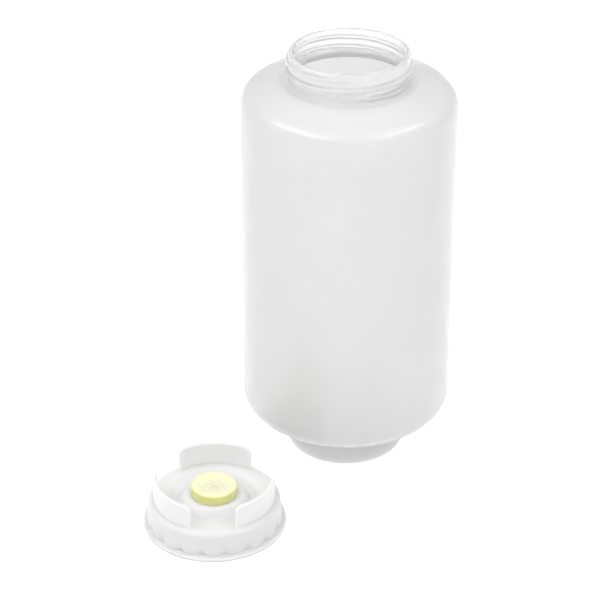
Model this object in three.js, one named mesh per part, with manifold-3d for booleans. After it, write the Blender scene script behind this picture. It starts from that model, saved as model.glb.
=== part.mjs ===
// Wide-mouth squeeze bottle with its dispensing cap taken off and set down beside it.
// Millimetres, +Z up. The origin is on the table, at the middle of the ground that the set covers.
// The bottle stands upright and open. The cap lies with its skirt on the table and its valve up.

import * as THREE from 'three';
import { mergeVertices, toCreasedNormals } from 'three/addons/utils/BufferGeometryUtils.js';
import Module from 'manifold-3d';

const wasm = await Module();
wasm.setup();

// Neck finish, shared by the bottle and the cap
const threadOuterDiameter = 52.3;
const threadDepth = 1.15;
const threadPitch = 4.23;
const threadTurns = 2.05;
const threadRootWidth = 2.3;
const threadCrestWidth = 0.8;
const threadStartDepth = 1.9;
const threadStartAngle = -81;
const threadBite = 0.5;
const threadRunOut = 0.06;
const threadClearance = 0.25;
const neckWall = 1.7;
const neckHeight = 11.7;

// Bottle
const bottleHeight = 184.6;
const bodyDiameter = 90;
const bodyWall = 1.2;
const ledgeWidth = 4;
const shoulderAngle = 20;
const shoulderCornerRadius = 8.25;
const lowerConeAngle = 27;
const lowerCornerRadius = 10;
const footDiameter = 50.8;
const footHeight = 11.1;
const footEdgeRadius = 1.5;
const standingRingWidth = 5;
const pushUpDepth = 1.6;
const pushUpSlope = 4;
const neckRootFillet = 0.8;
const rimEdgeRadius = 0.5;

// Cap
const skirtTopWall = 1.3;
const skirtBaseWall = 1.8;
const skirtEdgeRadius = 1.7;
const flangeWidth = 1.95;
const flangeHeight = 1.4;
const flangeEdgeRadius = 0.5;
const deckHeight = 12.4;
const deckWall = 1.5;
const capThreadTurns = 1.4;
const capThreadLift = 2;
const plugSealClearance = 0.2;
const plugSealWall = 1;
const plugSealLength = 2.4;
const moatOuterDiameter = 41.5;
const moatFloorDiameter = 36;
const moatDepth = 1.3;
const bossDiameter = 30;
const seatHeight = 13.9;
const seatDiameter = 24;
const valveHoleDiameter = 14.4;

// Grip flutes round the skirt, deepest just above the flange
const fluteCount = 18;
const fluteRadius = 4.2;
const fluteDepth = 0.85;
const fluteTop = 7.4;

// Three legs that carry the capped bottle when it is stood upside down
const legCount = 3;
const legInset = 2.3;
const legWall = 1.5;
const legHeight = 10.3;
const legSpan = 76.5;
const legCornerRadius = 3.2;
const legEdgeRadius = 0.5;
const legRoot = 0.6;

// Silicone valve, a grommet with a slit skin
const valveHeadDiameter = 19.2;
const valveHeadHeight = 4.2;
const valveEdgeRadius = 0.9;
const valveStemClearance = 0.3;
const valveFlangeDiameter = 18;
const valveFlangeHeight = 1.6;
const valveFlangeGap = 0.3;
const valveFlangeEdgeRadius = 0.5;
const valveBoreDiameter = 10.4;
const valveSkin = 0.7;
const valveRimWidth = 1.4;
const valveStepCount = 3;
const valveStepDrop = 0.45;
const valveStepRun = 1.35;
const valveDomeDiameter = 7.6;
const valveDomeRise = 0.5;
const slitLength = 5;
const slitWidth = 0.2;
const slitTurn = 45;

// Where the cap lies, measured from the bottle's axis
const capOffsetX = -57;
const capOffsetY = -66;

// Fineness of round shapes
const bottleSides = 48;
const capSides = 54;
const valveSides = 36;
const chordError = 0.14;
const threadStepsPerTurn = 24;
const fluteSides = 16;
const legCornerSteps = 4;
const creaseAngle = 30;
const mergeDistance = 1e-4;

// The most that a corner's rounding may take of the shorter side beside it
const roundingShare = 0.49;

const radians = THREE.MathUtils.degToRad;

// Points of a section whose corners are rounded. A corner is [radius from the axis, height, rounding].
function roundedSection(corners) {
  const points = [];
  corners.forEach(([r, z, rounding = 0], i) => {
    const corner = new THREE.Vector2(r, z);
    if (rounding === 0) {
      points.push(corner);
      return;
    }
    const back = new THREE.Vector2(...corners[i - 1]).sub(corner);
    const ahead = new THREE.Vector2(...corners[i + 1]).sub(corner);
    const room = Math.min(back.length(), ahead.length()) * roundingShare;
    back.normalize();
    ahead.normalize();
    const half = Math.acos(THREE.MathUtils.clamp(back.dot(ahead), -1, 1)) / 2;
    const tangent = Math.min(rounding / Math.tan(half), room);
    const radius = tangent * Math.tan(half);
    const centre = back.clone().add(ahead).setLength(radius / Math.sin(half)).add(corner);
    const start = back.clone().multiplyScalar(tangent).add(corner).sub(centre);
    const end = ahead.clone().multiplyScalar(tangent).add(corner).sub(centre);
    const sweep = Math.sign(start.cross(end)) * (Math.PI - 2 * half);
    const arcStep = 2 * Math.acos(Math.max(0, 1 - chordError / radius));
    const steps = Math.ceil(Math.abs(sweep) / arcStep);
    for (let step = 0; step <= steps; step += 1) {
      const around = start.clone().rotateAround(new THREE.Vector2(), (sweep * step) / steps);
      points.push(around.add(centre));
    }
  });
  return points;
}

// A closed mesh as a solid. Shared vertices are merged and faces of no area are left out.
function solidFrom(geometry) {
  const bare = geometry.clone();
  bare.deleteAttribute('normal');
  bare.deleteAttribute('uv');
  const merged = mergeVertices(bare, mergeDistance);
  const triangles = [];
  for (let i = 0; i < merged.index.count; i += 3) {
    const [a, b, c] = [0, 1, 2].map((k) => merged.index.getX(i + k));
    if (a !== b && b !== c && c !== a) triangles.push(a, b, c);
  }
  const mesh = new wasm.Mesh({
    numProp: 3,
    vertProperties: merged.attributes.position.array,
    triVerts: new Uint32Array(triangles),
  });
  return new wasm.Manifold(mesh);
}

// A solid as a mesh of its own, with sharp edges kept sharp in its shading.
function meshFrom(name, solid, material) {
  const { vertProperties, triVerts } = solid.getMesh();
  const geometry = new THREE.BufferGeometry();
  geometry.setAttribute('position', new THREE.BufferAttribute(vertProperties, 3));
  geometry.setIndex(new THREE.BufferAttribute(triVerts, 1));
  const mesh = new THREE.Mesh(toCreasedNormals(geometry, radians(creaseAngle)), material);
  mesh.name = name;
  return mesh;
}

// A section turned about the Z axis. The section runs anticlockwise, radius to the right and height up.
function turned(corners, sides) {
  const lathe = new THREE.LatheGeometry(roundedSection(corners), sides);
  return solidFrom(lathe.rotateX(Math.PI / 2));
}

// A thread of one ridge, wound from a straight bar. It sinks into its wall at both ends.
function threadRidge({ wallRadius, outward, turns, startZ, startAngle }) {
  const section = new THREE.Shape([
    new THREE.Vector2(-threadBite, -threadRootWidth / 2),
    new THREE.Vector2(threadDepth, -threadCrestWidth / 2),
    new THREE.Vector2(threadDepth, threadCrestWidth / 2),
    new THREE.Vector2(-threadBite, threadRootWidth / 2),
  ]);
  const steps = Math.round(turns * threadStepsPerTurn);
  const bar = new THREE.ExtrudeGeometry(section, { depth: 1, steps, bevelEnabled: false });
  const position = bar.attributes.position;
  const way = outward ? -1 : 1;
  for (let i = 0; i < position.count; i += 1) {
    const along = position.getZ(i);
    const full = THREE.MathUtils.smoothstep(Math.min(along, 1 - along), 0, threadRunOut);
    const crest = THREE.MathUtils.lerp(-threadBite / 2, threadDepth, full);
    const rise = position.getX(i) > 0 ? crest : -threadBite;
    const radius = outward ? wallRadius + rise : wallRadius - rise;
    const angle = radians(startAngle) + way * along * turns * 2 * Math.PI;
    const z = startZ + way * along * turns * threadPitch + position.getY(i);
    position.setXYZ(i, radius * Math.cos(angle), radius * Math.sin(angle), z);
  }
  return solidFrom(bar);
}

// Radii and heights that the neck, the cap and the valve share. Cap heights are from the table up.
const neckRadius = threadOuterDiameter / 2 - threadDepth;
const mouthRadius = neckRadius - neckWall;
const capBoreRadius = threadOuterDiameter / 2 + threadClearance;
const skirtTopRadius = capBoreRadius + skirtTopWall;
const skirtBaseRadius = capBoreRadius + skirtBaseWall;
const flangeRadius = skirtBaseRadius + flangeWidth;
const capCeiling = deckHeight - deckWall;
const seatUnderside = seatHeight - deckWall;

// The bottle is blown in one piece: foot, body, shoulder, neck and thread.
function bottleSolid() {
  const bodyRadius = bodyDiameter / 2;
  const footRadius = footDiameter / 2;
  const ledgeRadius = neckRadius + ledgeWidth;
  const ledgeZ = bottleHeight - neckHeight;
  const pushUpRadius = footRadius - standingRingWidth;
  const shoulderZ = (r) => ledgeZ - (r - ledgeRadius) * Math.tan(radians(shoulderAngle));
  const lowerZ = (r) => footHeight + (r - footRadius) * Math.tan(radians(lowerConeAngle));
  const underShoulder = bodyWall / Math.cos(radians(shoulderAngle));
  const aboveCone = bodyWall / Math.cos(radians(lowerConeAngle));
  const inner = bodyRadius - bodyWall;
  const innerFoot = footRadius - bodyWall;

  const shell = turned([
    [0, pushUpDepth],
    [pushUpRadius - pushUpSlope, pushUpDepth],
    [pushUpRadius, 0],
    [footRadius, 0, footEdgeRadius],
    [footRadius, footHeight],
    [bodyRadius, lowerZ(bodyRadius), lowerCornerRadius],
    [bodyRadius, shoulderZ(bodyRadius), shoulderCornerRadius],
    [ledgeRadius, ledgeZ, neckRootFillet],
    [neckRadius, ledgeZ, neckRootFillet],
    [neckRadius, bottleHeight, rimEdgeRadius],
    [mouthRadius, bottleHeight, rimEdgeRadius],
    [mouthRadius, ledgeZ - bodyWall],
    [ledgeRadius, ledgeZ - underShoulder],
    [inner, shoulderZ(inner) - underShoulder, shoulderCornerRadius - bodyWall],
    [inner, lowerZ(inner) + aboveCone, lowerCornerRadius - bodyWall],
    [innerFoot, lowerZ(innerFoot) + aboveCone],
    [innerFoot, bodyWall],
    [pushUpRadius, bodyWall],
    [pushUpRadius - pushUpSlope, pushUpDepth + bodyWall],
    [0, pushUpDepth + bodyWall],
  ], bottleSides);
  const thread = threadRidge({
    wallRadius: neckRadius,
    outward: true,
    turns: threadTurns,
    startZ: bottleHeight - threadStartDepth,
    startAngle: threadStartAngle,
  });
  return shell.add(thread);
}

// The deck of the cap, from the skirt in to the valve's hole, with the plug that seals the mouth.
function capShell() {
  const moatFloor = deckHeight - moatDepth;
  const plugOuter = mouthRadius - plugSealClearance;
  const plugInner = plugOuter - plugSealWall;
  return turned([
    [capBoreRadius, 0],
    [skirtBaseRadius, 0],
    [skirtTopRadius, deckHeight, skirtEdgeRadius],
    [moatOuterDiameter / 2, deckHeight],
    [moatFloorDiameter / 2, moatFloor],
    [bossDiameter / 2, moatFloor],
    [seatDiameter / 2, seatHeight],
    [valveHoleDiameter / 2, seatHeight],
    [valveHoleDiameter / 2, seatUnderside],
    [seatDiameter / 2, seatUnderside],
    [bossDiameter / 2, moatFloor - deckWall],
    [plugInner, moatFloor - deckWall],
    [plugInner, capCeiling - plugSealLength],
    [plugOuter, capCeiling - plugSealLength],
    [plugOuter, capCeiling],
    [capBoreRadius, capCeiling],
    [capBoreRadius, 0],
  ], capSides);
}

// One cutter for a grip flute: a leaning cylinder that comes out of the skirt at the flute's top.
// It is centred at the flange and reaches past the deck and below the table.
function fluteCutter(index) {
  const draft = (skirtBaseWall - skirtTopWall) / deckHeight;
  const lean = Math.atan(fluteDepth / (fluteTop - flangeHeight) - draft);
  const reach = 2 * (deckHeight + fluteRadius);
  const cutter = new THREE.CylinderGeometry(fluteRadius, fluteRadius, reach, fluteSides);
  cutter.rotateX(Math.PI / 2);
  cutter.rotateY(lean);
  cutter.translate(skirtBaseRadius + fluteRadius - fluteDepth, 0, flangeHeight);
  cutter.rotateZ(((index + 0.5) / fluteCount) * 2 * Math.PI + Math.PI / 2);
  return solidFrom(cutter);
}

// A leg is a piece of a ring wall, cut to a window with rounded top corners.
function leg(index) {
  const outer = skirtTopRadius - legInset;
  const halfWidth = outer * Math.sin(radians(legSpan / 2));
  const base = deckHeight - legRoot;
  const top = deckHeight + legHeight;
  const window = new THREE.Shape();
  window.moveTo(-halfWidth, base);
  window.lineTo(halfWidth, base);
  window.lineTo(halfWidth, top - legCornerRadius);
  window.absarc(halfWidth - legCornerRadius, top - legCornerRadius, legCornerRadius, 0, Math.PI / 2);
  window.absarc(legCornerRadius - halfWidth, top - legCornerRadius, legCornerRadius, Math.PI / 2, Math.PI);
  window.closePath();
  const block = new THREE.ExtrudeGeometry(window, {
    depth: outer + legWall,
    bevelEnabled: false,
    curveSegments: legCornerSteps,
  });
  block.rotateX(Math.PI / 2);
  block.rotateZ(Math.PI + (index / legCount) * 2 * Math.PI);
  const ring = turned([
    [outer - legWall, base],
    [outer, base],
    [outer, top, legEdgeRadius],
    [outer - legWall, top, legEdgeRadius],
    [outer - legWall, base],
  ], capSides);
  return ring.intersect(solidFrom(block));
}

function capSolid() {
  let cap = capShell();
  for (let i = 0; i < fluteCount; i += 1) cap = cap.subtract(fluteCutter(i));
  cap = cap.add(
    turned([
      [capBoreRadius, 0],
      [flangeRadius, 0],
      [flangeRadius, flangeHeight, flangeEdgeRadius],
      [capBoreRadius, flangeHeight],
      [capBoreRadius, 0],
    ], capSides),
  );
  for (let i = 0; i < legCount; i += 1) cap = cap.add(leg(i));
  const ridge = threadRidge({
    wallRadius: capBoreRadius,
    outward: false,
    turns: capThreadTurns,
    startZ: capThreadLift,
    startAngle: threadStartAngle,
  });
  return cap.add(ridge);
}

// The valve stands on the seat, passes through the hole and is held by a flange below.
function valveSolid() {
  const headRadius = valveHeadDiameter / 2;
  const stemRadius = valveHoleDiameter / 2 - valveStemClearance;
  const flangeTop = seatUnderside - valveFlangeGap;
  const flangeBottom = flangeTop - valveFlangeHeight;
  const headTop = seatHeight + valveHeadHeight;
  const boreRadius = valveBoreDiameter / 2;
  const domeRadius = valveDomeDiameter / 2;
  const steps = [];
  for (let i = 0; i < valveStepCount; i += 1) {
    const r = headRadius - valveRimWidth - i * valveStepRun;
    steps.push([r, headTop - i * valveStepDrop]);
    steps.push([r - valveStepDrop, headTop - (i + 1) * valveStepDrop]);
  }
  const skinTop = headTop - valveStepCount * valveStepDrop;
  const section = [
    [0, skinTop + valveDomeRise - valveSkin],
    [boreRadius, skinTop - valveSkin],
    [boreRadius, flangeBottom],
    [valveFlangeDiameter / 2, flangeBottom, valveFlangeEdgeRadius],
    [valveFlangeDiameter / 2, flangeTop],
    [stemRadius, flangeTop],
    [stemRadius, seatHeight],
    [headRadius, seatHeight],
    [headRadius, headTop, valveEdgeRadius],
    ...steps,
    [domeRadius, skinTop],
    [0, skinTop + valveDomeRise],
  ];
  let valve = turned(section, valveSides);
  for (const quarter of [0, 1]) {
    const slit = new THREE.BoxGeometry(slitLength, slitWidth, valveHeadHeight * 2);
    slit.rotateZ(radians(slitTurn + 90 * quarter));
    slit.translate(0, 0, headTop);
    valve = valve.subtract(solidFrom(slit));
  }
  return valve;
}

const milkyPlastic = new THREE.MeshStandardMaterial({ color: 0xe9e9e9, roughness: 0.42, metalness: 0 });
const capPlastic = new THREE.MeshStandardMaterial({ color: 0xf2f2f2, roughness: 0.45, metalness: 0 });
const silicone = new THREE.MeshStandardMaterial({ color: 0xe0de86, roughness: 0.3, metalness: 0 });

// The set is placed so that its ground is centred on the origin.
const left = Math.min(-bodyDiameter / 2, capOffsetX - flangeRadius);
const right = Math.max(bodyDiameter / 2, capOffsetX + flangeRadius);
const front = Math.min(-bodyDiameter / 2, capOffsetY - flangeRadius);
const back = Math.max(bodyDiameter / 2, capOffsetY + flangeRadius);

const bottle = meshFrom('bottle', bottleSolid(), milkyPlastic);
bottle.position.set(-(left + right) / 2, -(front + back) / 2, 0);

const capGroup = new THREE.Group();
capGroup.position.copy(bottle.position).add(new THREE.Vector3(capOffsetX, capOffsetY, 0));
capGroup.add(meshFrom('cap', capSolid(), capPlastic));
capGroup.add(meshFrom('valve', valveSolid(), silicone));

const squeezeBottle = new THREE.Group();
squeezeBottle.add(bottle, capGroup);

export default squeezeBottle;
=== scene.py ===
import math

import bmesh
import bpy
from mathutils import Matrix, Vector


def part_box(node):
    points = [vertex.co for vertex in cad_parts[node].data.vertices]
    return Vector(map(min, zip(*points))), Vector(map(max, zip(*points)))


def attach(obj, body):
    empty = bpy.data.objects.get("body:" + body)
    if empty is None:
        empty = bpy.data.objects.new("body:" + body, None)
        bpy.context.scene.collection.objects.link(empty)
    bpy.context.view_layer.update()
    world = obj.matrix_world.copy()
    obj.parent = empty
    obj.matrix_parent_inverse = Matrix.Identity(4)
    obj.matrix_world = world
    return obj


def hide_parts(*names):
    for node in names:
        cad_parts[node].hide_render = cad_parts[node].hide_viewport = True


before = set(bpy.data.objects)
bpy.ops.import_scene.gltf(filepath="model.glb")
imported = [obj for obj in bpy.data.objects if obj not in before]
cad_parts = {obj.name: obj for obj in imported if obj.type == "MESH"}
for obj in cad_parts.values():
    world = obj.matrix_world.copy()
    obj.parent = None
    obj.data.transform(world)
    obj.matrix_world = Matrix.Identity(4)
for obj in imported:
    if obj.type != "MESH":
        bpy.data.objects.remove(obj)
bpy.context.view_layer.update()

# Sizes are in millimetres and angles in degrees. Heights are measured from the table.
MM = 0.001

# Neck finish, shared by the bottle and the cap
THREAD_OUTER_DIAMETER = 52.3
THREAD_DEPTH = 1.15
THREAD_PITCH = 4.23
THREAD_TURNS = 2.05
THREAD_ROOT_WIDTH = 2.3
THREAD_CREST_WIDTH = 0.8
THREAD_START_DEPTH = 1.9  # below the rim
THREAD_START_ANGLE = -81
THREAD_RUN_OUT = 0.06  # share of the thread in which each end fades out
THREAD_CLEARANCE = 0.25  # between the crests on the neck and the bore of the cap
MOUTH_DIAMETER = 46.6
NECK_HEIGHT = 11.7

# Bottle
BOTTLE_HEIGHT = 184.6
BODY_DIAMETER = 90
BODY_WALL = 1.2
LEDGE_DIAMETER = 58
SHOULDER_ANGLE = 20
SHOULDER_CORNER_RADIUS = 8.25
LOWER_CONE_ANGLE = 27
LOWER_CORNER_RADIUS = 10
FOOT_DIAMETER = 50.8
FOOT_HEIGHT = 11.1
FOOT_EDGE_RADIUS = 1.5
STANDING_RING_WIDTH = 5
PUSH_UP_DEPTH = 1.6
PUSH_UP_SLOPE = 4
PUSH_UP_ROUNDING = 1.5
NECK_ROOT_FILLET = 0.8
RIM_EDGE_RADIUS = 0.6

# Cap
SKIRT_TOP_DIAMETER = 55.4
SKIRT_BASE_DIAMETER = 56.4
SKIRT_EDGE_RADIUS = 2.3
FLANGE_DIAMETER = 60.18  # a hair inside the solid, so that its box is kept
FLANGE_HEIGHT = 1.4
FLANGE_EDGE_RADIUS = 0.5
FLANGE_FOOT_ROUNDING = 0.2
FLANGE_ROOT_FILLET = 0.5
DECK_HEIGHT = 12.4
DECK_WALL = 1.5
CAP_THREAD_TURNS = 1.4
CAP_THREAD_LIFT = 2  # where the cap's thread starts, above the table
PLUG_SEAL_CLEARANCE = 0.2
PLUG_SEAL_WALL = 1
PLUG_SEAL_LENGTH = 2.4
PLUG_SEAL_ROUNDING = 0.3
MOAT_OUTER_DIAMETER = 41.5
MOAT_FLOOR_DIAMETER = 36
MOAT_DEPTH = 1.3
MOAT_RIM_ROUNDING = 1.5
MOAT_FLOOR_ROUNDING = 2
UNDERSIDE_ROUNDING = 1
BOSS_DIAMETER = 30
SEAT_HEIGHT = 13.9
SEAT_DIAMETER = 24
SEAT_ROUNDING = 2
VALVE_HOLE_DIAMETER = 14.4
VALVE_HOLE_ROUNDING = 0.2
FLUTE_COUNT = 18
FLUTE_RADIUS = 4.2
FLUTE_DEPTH = 0.85
FLUTE_TOP = 7.4

# Legs of the cap
LEG_COUNT = 3
LEG_OUTER_DIAMETER = 50.8
LEG_WALL = 1.5
LEG_HEIGHT = 10.3
LEG_SPAN = 76.5
LEG_CORNER_RADIUS = 3.2
LEG_EDGE_RADIUS = 0.5
LEG_ROOT_FILLET = 0.8
LEG_SINK = 0.04  # how far a leg reaches into the deck

# Valve
VALVE_HEAD_DIAMETER = 19.2
VALVE_HEAD_HEIGHT = 4.2
VALVE_EDGE_RADIUS = 0.9
VALVE_LOWER_ROUNDING = 0.2
VALVE_STEM_CLEARANCE = 0.3
VALVE_FLANGE_DIAMETER = 18
VALVE_FLANGE_HEIGHT = 1.6
VALVE_FLANGE_GAP = 0.3
VALVE_FLANGE_EDGE_RADIUS = 0.5
VALVE_FLANGE_TOP_ROUNDING = 0.3
VALVE_BORE_DIAMETER = 10.4
VALVE_BORE_ROUNDING = 0.3
VALVE_SKIN = 0.7
VALVE_RIM_WIDTH = 1.4
VALVE_STEP_COUNT = 3
VALVE_STEP_DROP = 0.45
VALVE_STEP_RUN = 1.35
VALVE_STEP_ROUNDING = 0.3
VALVE_DOME_DIAMETER = 7.6
VALVE_DOME_RISE = 0.5
VALVE_DOME_ROUNDING = 0.6
SLIT_LENGTH = 5
SLIT_WIDTH = 0.2
SLIT_TURN = 45

# Fineness of the meshes
BOTTLE_SIDES = 192
CAP_SIDES = 288
VALVE_SIDES = 96
LEG_COLUMNS = 56  # along one leg
ARC_STEP = math.radians(9)  # largest turn in one step of a rounding
RELIEF_STEP = 0.16  # along an outline where a thread or flutes stand on it
SHARP_ANGLE = math.radians(40)  # edges that turn more than this stay crisp
ROUNDING_SHARE = 0.49  # of a side, at most, goes to one rounding
NEARLY = 1e-3  # sizes this close count as equal

# Looks. Each colour is a pair that a cloudy noise blends.
BODY_COLOURS = ((0.945, 0.945, 0.947), (0.96, 0.96, 0.96))
# Painted light: a paler copy of the bottle's colour, laid toward the shoulder, neck and foot to lift the
# shade there.
PAINTED_LIGHT_END_COLOURS = ((0.982, 0.982, 0.983), (0.992, 0.992, 0.992))
PAINTED_LIGHT_REACH_BELOW_NECK = 25
PAINTED_LIGHT_REACH_ABOVE_FOOT = 50
BODY_ROUGHNESS = 0.38
NECK_ROUGHNESS = 0.2
CAP_COLOURS = ((0.785, 0.785, 0.79), (0.825, 0.825, 0.825))
VALVE_SIDE_COLOURS = ((0.74, 0.73, 0.27), (0.8, 0.79, 0.38))
# Painted light: a paler, whiter copy of the valve's colour for its top, standing in for the light from above.
VALVE_PAINTED_LIGHT_TOP_COLOURS = ((0.86, 0.85, 0.56), (0.9, 0.89, 0.66))

# Studio
FLOOR_HALF = 3000  # half a side of the table top
FLOOR_GLOW = 0.6
AMBIENT_LEVEL = 0.6  # the world's light on the object
WHITE_LEVEL = 1.0  # the world where it is seen directly
LAMP_AIM = (0, 0, 90)
STRIP_LENGTH = 1400
STRIP_WIDTH = 150
LEFT_STRIP_PLACE = (-760, -390, 950)
LEFT_STRIP_POWER = 5
RIGHT_STRIP_PLACE = (760, -390, 950)
RIGHT_STRIP_POWER = 3.8
TOP_BOX_SIDE = 1400
TOP_BOX_PLACE = (0, 100, 1200)
TOP_BOX_POWER = 5

# Camera, fitted to the photograph
CAMERA_PLACE = (-12.004, -799.144, 539.281)
CAMERA_TILT = 29.717
CAMERA_TURN = 0.9
CAMERA_LENS = 132
SENSOR_WIDTH = 36


def middle(node):
    """The point of the table under the middle of a CAD node."""
    low, high = (Vector(corner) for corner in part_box(node))
    centre = (low + high) / 2
    return Vector((centre.x, centre.y, 0))


def rounded_section(corners):
    """Points (r, z) of an outline. A corner is (r, z) or (r, z, rounding)."""
    points = []
    for i, corner in enumerate(corners):
        at = Vector(corner[:2])
        rounding = corner[2] if len(corner) > 2 else 0
        if rounding == 0:
            points.append(at)
            continue
        back = Vector(corners[i - 1][:2]) - at
        ahead = Vector(corners[(i + 1) % len(corners)][:2]) - at
        room = min(back.length, ahead.length) * ROUNDING_SHARE
        back.normalize()
        ahead.normalize()
        half = math.acos(max(-1, min(1, back.dot(ahead)))) / 2
        tangent = min(rounding / math.tan(half), room)
        radius = tangent * math.tan(half)
        centre = at + (back + ahead).normalized() * (radius / math.sin(half))
        start = at + back * tangent - centre
        end = at + ahead * tangent - centre
        turn = math.atan2(start.x * end.y - start.y * end.x, start.dot(end))
        steps = max(2, math.ceil(abs(turn) / ARC_STEP))
        for step in range(steps + 1):
            angle = turn * step / steps
            x = start.x * math.cos(angle) - start.y * math.sin(angle)
            y = start.x * math.sin(angle) + start.y * math.cos(angle)
            points.append(centre + Vector((x, y)))
    return points


def finer(points, wanted):
    """The outline with short steps wherever wanted(middle of a step) says so."""
    made = []
    for a, b in zip(points, points[1:] + points[:1]):
        steps = 1
        if wanted((a + b) / 2):
            steps = max(1, math.ceil((b - a).length / RELIEF_STEP))
        made.extend(a.lerp(b, step / steps) for step in range(steps))
    return made


def smooth_step(value):
    value = max(0, min(1, value))
    return value * value * (3 - 2 * value)


def thread_rise(z, angle, turns, start_z, start_angle, way):
    """How far a one-start thread stands out at a place. way is 1 where it climbs and -1 where it falls."""
    rise = 0
    first = (way * (angle - math.radians(start_angle)) / math.tau) % 1
    for lap in range(math.ceil(turns)):
        along = first + lap
        if along > turns:
            continue
        off = abs(z - start_z - way * along * THREAD_PITCH)
        flank = (THREAD_ROOT_WIDTH - THREAD_CREST_WIDTH) / 2
        ridge = smooth_step(1 - (off - THREAD_CREST_WIDTH / 2) / flank)
        end = smooth_step(min(along, turns - along) / turns / THREAD_RUN_OUT)
        rise = max(rise, THREAD_DEPTH * ridge * end)
    return rise


def finished(name, bm, material, node):
    """A mesh object from bm, smooth but for its sharp edges, that stands for a CAD node."""
    bmesh.ops.recalc_face_normals(bm, faces=bm.faces)
    for face in bm.faces:
        face.smooth = True
    for edge in bm.edges:
        edge.smooth = edge.calc_face_angle(0) < SHARP_ANGLE
    mesh = bpy.data.meshes.new(name)
    bm.to_mesh(mesh)
    bm.free()
    mesh.materials.append(material)
    piece = bpy.data.objects.new(name, mesh)
    bpy.context.scene.collection.objects.link(piece)
    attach(piece, "root")
    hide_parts(node)
    return piece


def scratch_object(bm):
    """An object that holds bm for a boolean step and isn't kept."""
    bmesh.ops.recalc_face_normals(bm, faces=bm.faces)
    mesh = bpy.data.meshes.new("scratch")
    bm.to_mesh(mesh)
    bm.free()
    scratch = bpy.data.objects.new("scratch", mesh)
    bpy.context.scene.collection.objects.link(scratch)
    return scratch


def combined(bm, tools, operation):
    """bm with each closed form in tools joined to it (UNION) or cut from it (DIFFERENCE)."""
    base = scratch_object(bm)
    others = [scratch_object(tool) for tool in tools]
    for other in others:
        step = base.modifiers.new("step", "BOOLEAN")
        step.operation = operation
        step.object = other
    shape = base.evaluated_get(bpy.context.evaluated_depsgraph_get())
    made = bmesh.new()
    made.from_mesh(shape.to_mesh())
    shape.to_mesh_clear()
    for scratch in (base, *others):
        bpy.data.objects.remove(scratch)
    return made


def add_turned(bm, points, sides, place, swell=None):
    """Turns an outline about the vertical through place. swell(r, z, angle) adds to a point's radius."""
    rings = []
    for r, z in points:
        if r < NEARLY:
            rings.append([bm.verts.new(place + Vector((0, 0, z)) * MM)])
            continue
        ring = []
        for k in range(sides):
            angle = math.tau * k / sides
            radius = r + (swell(r, z, angle) if swell else 0)
            spot = Vector((radius * math.cos(angle), radius * math.sin(angle), z))
            ring.append(bm.verts.new(place + spot * MM))
        rings.append(ring)
    pairs = list(zip(rings, rings[1:]))
    if len(rings[0]) > 1:
        pairs.append((rings[-1], rings[0]))
    for lower, upper in pairs:
        for k in range(sides):
            n = (k + 1) % sides
            loop = [ring[i % len(ring)] for ring, i in ((lower, k), (lower, n), (upper, n), (upper, k))]
            corners = list(dict.fromkeys(loop))
            if len(corners) > 2:
                bm.faces.new(corners)


def make_bottle(material):
    body = BODY_DIAMETER / 2
    foot = FOOT_DIAMETER / 2
    ledge = LEDGE_DIAMETER / 2
    neck = THREAD_OUTER_DIAMETER / 2 - THREAD_DEPTH
    mouth = MOUTH_DIAMETER / 2
    ledge_z = BOTTLE_HEIGHT - NECK_HEIGHT
    push_up = foot - STANDING_RING_WIDTH
    shoulder_slope = math.tan(math.radians(SHOULDER_ANGLE))
    lower_slope = math.tan(math.radians(LOWER_CONE_ANGLE))
    under_shoulder = BODY_WALL / math.cos(math.radians(SHOULDER_ANGLE))
    above_cone = BODY_WALL / math.cos(math.radians(LOWER_CONE_ANGLE))
    inner = body - BODY_WALL
    inner_foot = foot - BODY_WALL

    def shoulder_z(r):
        return ledge_z - (r - ledge) * shoulder_slope

    def lower_z(r):
        return FOOT_HEIGHT + (r - foot) * lower_slope

    outline = rounded_section([
        (0, PUSH_UP_DEPTH),
        (push_up - PUSH_UP_SLOPE, PUSH_UP_DEPTH, PUSH_UP_ROUNDING),
        (push_up, 0, PUSH_UP_ROUNDING),
        (foot, 0, FOOT_EDGE_RADIUS),
        (foot, FOOT_HEIGHT, NECK_ROOT_FILLET),
        (body, lower_z(body), LOWER_CORNER_RADIUS),
        (body, shoulder_z(body), SHOULDER_CORNER_RADIUS),
        (ledge, ledge_z, NECK_ROOT_FILLET),
        (neck, ledge_z, NECK_ROOT_FILLET),
        (neck, BOTTLE_HEIGHT, RIM_EDGE_RADIUS),
        (mouth, BOTTLE_HEIGHT, RIM_EDGE_RADIUS),
        (mouth, ledge_z - BODY_WALL, NECK_ROOT_FILLET),
        (ledge, ledge_z - under_shoulder, NECK_ROOT_FILLET),
        (inner, shoulder_z(inner) - under_shoulder, SHOULDER_CORNER_RADIUS - BODY_WALL),
        (inner, lower_z(inner) + above_cone, LOWER_CORNER_RADIUS - BODY_WALL),
        (inner_foot, lower_z(inner_foot) + above_cone, NECK_ROOT_FILLET + BODY_WALL),
        (inner_foot, BODY_WALL, NECK_ROOT_FILLET),
        (push_up, BODY_WALL, PUSH_UP_ROUNDING),
        (push_up - PUSH_UP_SLOPE, PUSH_UP_DEPTH + BODY_WALL, PUSH_UP_ROUNDING),
        (0, PUSH_UP_DEPTH + BODY_WALL),
    ])
    on_neck = (neck + mouth) / 2
    thread_start = BOTTLE_HEIGHT - THREAD_START_DEPTH

    def is_thread(spot):
        return abs(spot.x - neck) < NEARLY and spot.y > ledge_z

    def swell(r, z, angle):
        if r < on_neck or r > neck + NEARLY or z < ledge_z:
            return 0
        return thread_rise(z, angle, THREAD_TURNS, thread_start, THREAD_START_ANGLE, -1)

    bm = bmesh.new()
    add_turned(bm, finer(outline, is_thread), BOTTLE_SIDES, middle("bottle"), swell)
    return finished("bottle_shell", bm, material, "bottle")


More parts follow.
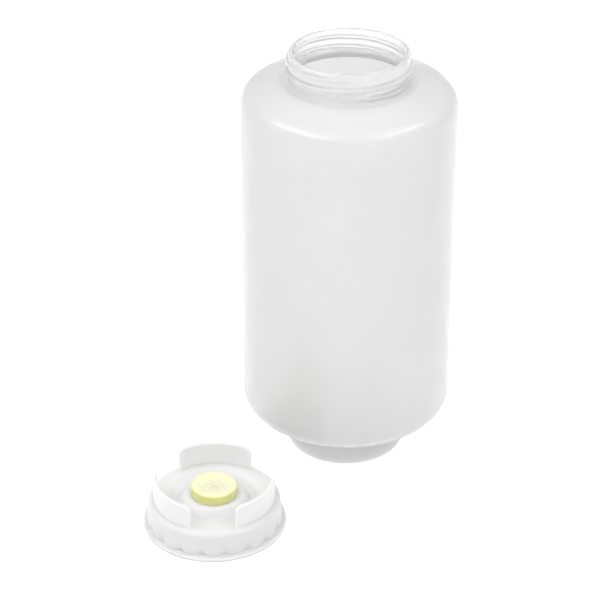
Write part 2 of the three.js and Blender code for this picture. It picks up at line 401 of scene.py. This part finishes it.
def flute_cut(z, angle):
    """How deep the grip flutes are cut into the skirt at a height and an angle."""
    if not FLANGE_HEIGHT / 2 < z < FLUTE_TOP:
        return 0
    depth = FLUTE_DEPTH * min(1, (FLUTE_TOP - z) / (FLUTE_TOP - FLANGE_HEIGHT))
    pitch = math.tau / FLUTE_COUNT
    from_front = angle + math.pi / 2
    off = abs((from_front % pitch) - pitch / 2)
    across = min(FLUTE_RADIUS, SKIRT_BASE_DIAMETER / 2 * off)
    return max(0, depth - FLUTE_RADIUS + math.sqrt(FLUTE_RADIUS**2 - across**2))


def leg_form(mid_angle, place):
    """One curved leg: an outline across its wall, swept along the arc and lowered at its rounded corners."""
    bm = bmesh.new()
    outer = LEG_OUTER_DIAMETER / 2
    inner = outer - LEG_WALL
    base = DECK_HEIGHT - LEG_SINK
    top = DECK_HEIGHT + LEG_HEIGHT
    half_span = math.radians(LEG_SPAN / 2)
    rows = []
    for k in range(LEG_COLUMNS + 1):
        turn = -half_span * math.cos(math.pi * k / LEG_COLUMNS)
        from_end = (half_span - abs(turn)) * outer
        short = max(0, LEG_CORNER_RADIUS - from_end)
        drop = LEG_CORNER_RADIUS - math.sqrt(max(0, LEG_CORNER_RADIUS**2 - short**2))
        thin = max(0, LEG_EDGE_RADIUS - from_end)
        inset = LEG_EDGE_RADIUS - math.sqrt(max(0, LEG_EDGE_RADIUS**2 - thin**2))
        section = rounded_section([
            (outer - inset + LEG_ROOT_FILLET, base - LEG_ROOT_FILLET),
            (outer - inset + LEG_ROOT_FILLET, base),
            (outer - inset, base, LEG_ROOT_FILLET),
            (outer - inset, top - drop, LEG_EDGE_RADIUS),
            (inner + inset, top - drop, LEG_EDGE_RADIUS),
            (inner + inset, base, LEG_ROOT_FILLET),
            (inner + inset - LEG_ROOT_FILLET, base),
            (inner + inset - LEG_ROOT_FILLET, base - LEG_ROOT_FILLET),
        ])
        angle = math.radians(mid_angle) + turn
        rows.append([
            bm.verts.new(place + Vector((r * math.cos(angle), r * math.sin(angle), z)) * MM)
            for r, z in section
        ])
    for near, far in zip(rows, rows[1:]):
        for i in range(len(near)):
            j = (i + 1) % len(near)
            bm.faces.new([near[i], far[i], far[j], near[j]])
    bm.faces.new(rows[0])
    bm.faces.new(rows[-1])
    return bm


def make_cap(material):
    bore = THREAD_OUTER_DIAMETER / 2 + THREAD_CLEARANCE
    ceiling = DECK_HEIGHT - DECK_WALL
    moat_floor = DECK_HEIGHT - MOAT_DEPTH
    plug_outer = MOUTH_DIAMETER / 2 - PLUG_SEAL_CLEARANCE
    plug_inner = plug_outer - PLUG_SEAL_WALL
    seat_under = SEAT_HEIGHT - DECK_WALL
    outline = rounded_section([
        (bore, 0),
        (FLANGE_DIAMETER / 2, 0, FLANGE_FOOT_ROUNDING),
        (FLANGE_DIAMETER / 2, FLANGE_HEIGHT, FLANGE_EDGE_RADIUS),
        (SKIRT_BASE_DIAMETER / 2, FLANGE_HEIGHT, FLANGE_ROOT_FILLET),
        (SKIRT_TOP_DIAMETER / 2, DECK_HEIGHT, SKIRT_EDGE_RADIUS),
        (MOAT_OUTER_DIAMETER / 2, DECK_HEIGHT, MOAT_RIM_ROUNDING),
        (MOAT_FLOOR_DIAMETER / 2, moat_floor, MOAT_FLOOR_ROUNDING),
        (BOSS_DIAMETER / 2, moat_floor, MOAT_FLOOR_ROUNDING),
        (SEAT_DIAMETER / 2, SEAT_HEIGHT, SEAT_ROUNDING),
        (VALVE_HOLE_DIAMETER / 2, SEAT_HEIGHT, VALVE_HOLE_ROUNDING),
        (VALVE_HOLE_DIAMETER / 2, seat_under),
        (SEAT_DIAMETER / 2, seat_under, UNDERSIDE_ROUNDING),
        (BOSS_DIAMETER / 2, moat_floor - DECK_WALL, UNDERSIDE_ROUNDING),
        (plug_inner, moat_floor - DECK_WALL, PLUG_SEAL_ROUNDING),
        (plug_inner, ceiling - PLUG_SEAL_LENGTH, PLUG_SEAL_ROUNDING),
        (plug_outer, ceiling - PLUG_SEAL_LENGTH, PLUG_SEAL_ROUNDING),
        (plug_outer, ceiling, PLUG_SEAL_ROUNDING),
        (bore, ceiling, PLUG_SEAL_ROUNDING),
    ])
    wall = (bore + SKIRT_TOP_DIAMETER / 2) / 2

    def is_relief(spot):
        in_bore = abs(spot.x - bore) < NEARLY
        on_skirt = SKIRT_TOP_DIAMETER / 2 < spot.x < SKIRT_BASE_DIAMETER / 2 and spot.y < FLUTE_TOP
        return in_bore or on_skirt

    def swell(r, z, angle):
        if r > wall:
            return -flute_cut(z, angle) if r < SKIRT_BASE_DIAMETER / 2 + NEARLY else 0
        if r < bore - NEARLY:
            return 0
        return -thread_rise(z, angle, CAP_THREAD_TURNS, CAP_THREAD_LIFT, THREAD_START_ANGLE, 1)

    bm = bmesh.new()
    add_turned(bm, finer(outline, is_relief), CAP_SIDES, middle("cap"), swell)
    legs = [leg_form(90 + 360 * k / LEG_COUNT, middle("cap")) for k in range(LEG_COUNT)]
    return finished("cap_shell", combined(bm, legs, "UNION"), material, "cap")


def slit_cutter(turn, height, place):
    """A thin upright blade as long as one slit of the valve's skin."""
    bm = bmesh.new()
    bmesh.ops.create_cube(bm, size=MM)
    bmesh.ops.scale(bm, vec=(SLIT_LENGTH, SLIT_WIDTH, 2 * VALVE_HEAD_HEIGHT), verts=bm.verts)
    bmesh.ops.rotate(bm, matrix=Matrix.Rotation(math.radians(turn), 3, "Z"), verts=bm.verts)
    bmesh.ops.translate(bm, vec=place + Vector((0, 0, height)) * MM, verts=bm.verts)
    return bm


def make_valve(material):
    head = VALVE_HEAD_DIAMETER / 2
    stem = VALVE_HOLE_DIAMETER / 2 - VALVE_STEM_CLEARANCE
    flange_top = SEAT_HEIGHT - DECK_WALL - VALVE_FLANGE_GAP
    flange_bottom = flange_top - VALVE_FLANGE_HEIGHT
    head_top = SEAT_HEIGHT + VALVE_HEAD_HEIGHT
    bore = VALVE_BORE_DIAMETER / 2
    steps = []
    for i in range(VALVE_STEP_COUNT):
        r = head - VALVE_RIM_WIDTH - i * VALVE_STEP_RUN
        z = head_top - i * VALVE_STEP_DROP
        steps.append((r, z, VALVE_STEP_ROUNDING))
        steps.append((r - VALVE_STEP_DROP, z - VALVE_STEP_DROP, VALVE_STEP_ROUNDING))
    skin_top = head_top - VALVE_STEP_COUNT * VALVE_STEP_DROP
    outline = rounded_section([
        (0, skin_top + VALVE_DOME_RISE - VALVE_SKIN),
        (bore, skin_top - VALVE_SKIN, VALVE_BORE_ROUNDING),
        (bore, flange_bottom, VALVE_LOWER_ROUNDING),
        (VALVE_FLANGE_DIAMETER / 2, flange_bottom, VALVE_FLANGE_EDGE_RADIUS),
        (VALVE_FLANGE_DIAMETER / 2, flange_top, VALVE_FLANGE_TOP_ROUNDING),
        (stem, flange_top),
        (stem, SEAT_HEIGHT),
        (head, SEAT_HEIGHT, VALVE_LOWER_ROUNDING),
        (head, head_top, VALVE_EDGE_RADIUS),
        *steps,
        (VALVE_DOME_DIAMETER / 2, skin_top, VALVE_DOME_ROUNDING),
        (0, skin_top + VALVE_DOME_RISE),
    ])
    bm = bmesh.new()
    add_turned(bm, outline, VALVE_SIDES, middle("valve"))
    blades = [slit_cutter(SLIT_TURN + quarter, head_top, middle("valve")) for quarter in (0, 90)]
    return finished("valve_grommet", combined(bm, blades, "DIFFERENCE"), material, "valve")


class Nodes:
    """A material's node tree, with short ways to add nodes and join them."""

    def __init__(self, name):
        self.material = bpy.data.materials.new(name)
        self.material.use_nodes = True
        self.tree = self.material.node_tree
        self.shader = self.tree.nodes["Principled BSDF"]

    def add(self, kind, inputs=None, **settings):
        node = self.tree.nodes.new(kind)
        for key, value in settings.items():
            setattr(node, key, value)
        for key, value in (inputs or {}).items():
            if isinstance(value, bpy.types.NodeSocket):
                self.tree.links.new(value, node.inputs[key])
            else:
                node.inputs[key].default_value = value
        return node

    def link(self, source, target):
        self.tree.links.new(source, target)

    def uniform(self, values):
        """Sets the sockets of the shader that are the same all over the surface."""
        for name, value in values.items():
            self.shader.inputs[name].default_value = value

    def noise(self, scale):
        place = self.add("ShaderNodeTexCoord").outputs["Object"]
        return self.add("ShaderNodeTexNoise", {"Vector": place, "Scale": scale}).outputs["Fac"]

    def blend(self, share, colours):
        """A colour that goes from the first of a pair to the second with share."""
        ramp = self.add("ShaderNodeMix", {"Factor": share}, data_type="RGBA")
        ramp.inputs["A"].default_value = (*colours[0], 1)
        ramp.inputs["B"].default_value = (*colours[1], 1)
        return ramp.outputs["Result"]

    def between(self, share, low, high):
        """A colour that goes from one colour socket to another with share."""
        mixed = self.add("ShaderNodeMix", {"Factor": share}, data_type="RGBA")
        self.link(low, mixed.inputs["A"])
        self.link(high, mixed.inputs["B"])
        return mixed.outputs["Result"]

    def mix(self, share, low, high):
        """A number that goes from low to high with share."""
        ramp = self.add("ShaderNodeMapRange", {"Value": share, "To Min": low, "To Max": high})
        return ramp.outputs["Result"]

    def share(self, length, start, end):
        """0 where a length is at its start and 1 where it is at its end."""
        ramp = self.add("ShaderNodeMapRange", {"Value": length, "From Min": start * MM, "From Max": end * MM})
        return ramp.outputs["Result"]

    def height(self, start, end):
        """0 at one height of the object and 1 at another."""
        place = self.add("ShaderNodeTexCoord").outputs["Object"]
        z = self.add("ShaderNodeSeparateXYZ", {"Vector": place}).outputs["Z"]
        return self.share(z, start, end)

    def inward(self, axis, outer, inner):
        """0 at a radius from an upright axis and 1 at a smaller one."""
        place = self.add("ShaderNodeTexCoord").outputs["Object"]
        off = self.add("ShaderNodeVectorMath", {0: place, 1: axis}, operation="SUBTRACT")
        off = off.outputs["Vector"]
        flat = self.add("ShaderNodeVectorMath", {0: off, 1: (1, 1, 0)}, operation="MULTIPLY")
        radius = self.add("ShaderNodeVectorMath", {0: flat.outputs["Vector"]}, operation="LENGTH")
        return self.share(radius.outputs["Value"], outer, inner)

    def bump(self, height, strength, distance):
        made = self.add("ShaderNodeBump", {"Height": height, "Strength": strength, "Distance": distance})
        self.link(made.outputs["Normal"], self.shader.inputs["Normal"])


def bottle_plastic():
    """Milky blown plastic with a satin face. Painted light makes it paler toward the shoulder, neck and foot,
    and it is clearer at the neck.
    """
    nodes = Nodes("bottle_plastic")
    cloud = nodes.noise(scale=18)
    thin = nodes.blend(cloud, BODY_COLOURS)
    # Painted light: the paler copy lifts the shade toward the shoulder, neck and foot.
    painted_light_colour = nodes.blend(cloud, PAINTED_LIGHT_END_COLOURS)
    neck_root = BOTTLE_HEIGHT - NECK_HEIGHT
    above = nodes.height(neck_root - PAINTED_LIGHT_REACH_BELOW_NECK, neck_root)
    below = nodes.height(FOOT_HEIGHT + PAINTED_LIGHT_REACH_ABOVE_FOOT, FOOT_HEIGHT)
    # Painted light fades in over these heights, toward the neck and toward the foot.
    painted_light_share = nodes.add("ShaderNodeMath", {0: above, 1: below}, operation="MAXIMUM").outputs["Value"]
    nodes.link(nodes.between(painted_light_share, thin, painted_light_colour), nodes.shader.inputs["Base Color"])
    neck = nodes.height(neck_root, neck_root + NECK_HEIGHT / 2)
    roughness = nodes.mix(neck, BODY_ROUGHNESS, NECK_ROUGHNESS)
    nodes.link(roughness, nodes.shader.inputs["Roughness"])
    nodes.uniform({
        "IOR": 1.5,
        "Transmission Weight": 0.65,
        "Coat Weight": 0.4,
        "Coat Roughness": 0.1,
    })
    nodes.bump(nodes.noise(scale=900), strength=0.05, distance=0.0002)
    return nodes.material


def cap_plastic():
    """Moulded white plastic with a soft satin face."""
    nodes = Nodes("cap_plastic")
    white = nodes.blend(nodes.noise(scale=40), CAP_COLOURS)
    nodes.link(white, nodes.shader.inputs["Base Color"])
    nodes.uniform({
        "Roughness": 0.4,
        "IOR": 1.5,
        "Subsurface Weight": 0.9,
        "Subsurface Radius": (1, 1, 1),
        "Subsurface Scale": 0.003,
    })
    nodes.bump(nodes.noise(scale=1400), strength=0.06, distance=0.0001)
    return nodes.material


def valve_silicone():
    """Soft pale yellow-green silicone, painted paler and whiter on its upward faces as painted light from
    above.
    """
    nodes = Nodes("valve_silicone")
    cloud = nodes.noise(scale=120)
    side = nodes.blend(cloud, VALVE_SIDE_COLOURS)
    # Painted light: the top gets a paler, whiter copy of the side colour, standing in for the light from
    # above.
    top = nodes.blend(cloud, VALVE_PAINTED_LIGHT_TOP_COLOURS)
    head = VALVE_HEAD_DIAMETER / 2
    from_edge = nodes.inward(middle("valve"), head, head - VALVE_EDGE_RADIUS)
    nodes.link(nodes.between(from_edge, side, top), nodes.shader.inputs["Base Color"])
    nodes.uniform({
        "Roughness": 0.15,
        "IOR": 1.42,
        "Subsurface Weight": 0.8,
        "Subsurface Radius": (1, 1, 0.5),
        "Subsurface Scale": 0.0014,
    })
    nodes.bump(nodes.noise(scale=1500), strength=0.05, distance=0.0001)
    return nodes.material


def seen_directly(tree):
    """1 for the rays that should meet the white background: from the camera, a mirror or through glass."""
    path = tree.nodes.new("ShaderNodeLightPath")
    total = path.outputs["Is Camera Ray"]
    for name in ("Is Glossy Ray", "Is Transmission Ray"):
        larger = tree.nodes.new("ShaderNodeMath")
        larger.operation = "MAXIMUM"
        tree.links.new(total, larger.inputs[0])
        tree.links.new(path.outputs[name], larger.inputs[1])
        total = larger.outputs[0]
    return total


def make_floor():
    """A white table top. Its glow lifts it to the photograph's white and leaves the contact shadow."""
    nodes = Nodes("floor_white")
    nodes.uniform({
        "Base Color": (0.9, 0.9, 0.9, 1),
        "Roughness": 0.9,
        "Specular IOR Level": 0.1,
        "Emission Color": (1, 1, 1, 1),
    })
    seen = seen_directly(nodes.tree)
    glow = nodes.add("ShaderNodeMath", {0: seen, 1: FLOOR_GLOW}, operation="MULTIPLY")
    nodes.link(glow.outputs["Value"], nodes.shader.inputs["Emission Strength"])
    half = FLOOR_HALF * MM
    corners = [(-half, -half, 0), (half, -half, 0), (half, half, 0), (-half, half, 0)]
    mesh = bpy.data.meshes.new("floor")
    mesh.from_pydata(corners, [], [(0, 1, 2, 3)])
    mesh.materials.append(nodes.material)
    floor = bpy.data.objects.new("floor", mesh)
    bpy.context.scene.collection.objects.link(floor)


def make_world():
    """White where it is seen directly, and a softer light on the object."""
    world = bpy.data.worlds.new("studio")
    world.use_nodes = True
    tree = world.node_tree
    background = tree.nodes["Background"]
    background.inputs["Color"].default_value = (1, 1, 1, 1)
    level = tree.nodes.new("ShaderNodeMix")
    tree.links.new(seen_directly(tree), level.inputs["Factor"])
    level.inputs["A"].default_value = AMBIENT_LEVEL
    level.inputs["B"].default_value = WHITE_LEVEL
    tree.links.new(level.outputs["Result"], background.inputs["Strength"])
    bpy.context.scene.world = world


def add_lamp(name, place, width, height, power, seen=True):
    """A soft box. Where seen is false, it shows in no reflection and through no plastic."""
    light = bpy.data.lights.new(name, "AREA")
    light.shape = "RECTANGLE"
    light.size = width * MM
    light.size_y = height * MM
    light.energy = power
    lamp = bpy.data.objects.new(name, light)
    lamp.location = Vector(place) * MM
    lamp.rotation_euler = (Vector(LAMP_AIM) - Vector(place)).to_track_quat("-Z", "Y").to_euler()
    lamp.visible_glossy = seen
    lamp.visible_transmission = seen
    bpy.context.scene.collection.objects.link(lamp)


def make_lights():
    """Two strips, which draw the bright arcs on the shoulder, and a wide soft light from above."""
    add_lamp("left_box", LEFT_STRIP_PLACE, STRIP_LENGTH, STRIP_WIDTH, LEFT_STRIP_POWER)
    add_lamp("right_box", RIGHT_STRIP_PLACE, STRIP_LENGTH, STRIP_WIDTH, RIGHT_STRIP_POWER)
    add_lamp("top_box", TOP_BOX_PLACE, TOP_BOX_SIDE, TOP_BOX_SIDE, TOP_BOX_POWER, seen=False)


def make_camera():
    data = bpy.data.cameras.new("camera")
    data.lens = CAMERA_LENS
    data.sensor_width = SENSOR_WIDTH
    camera = bpy.data.objects.new("camera", data)
    camera.location = Vector(CAMERA_PLACE) * MM
    camera.rotation_euler = (math.radians(90 - CAMERA_TILT), 0, math.radians(-CAMERA_TURN))
    bpy.context.scene.collection.objects.link(camera)
    bpy.context.scene.camera = camera


make_bottle(bottle_plastic())
make_cap(cap_plastic())
make_valve(valve_silicone())
make_floor()
make_world()
make_lights()
make_camera()

bpy.context.scene.view_settings.view_transform = "Standard"
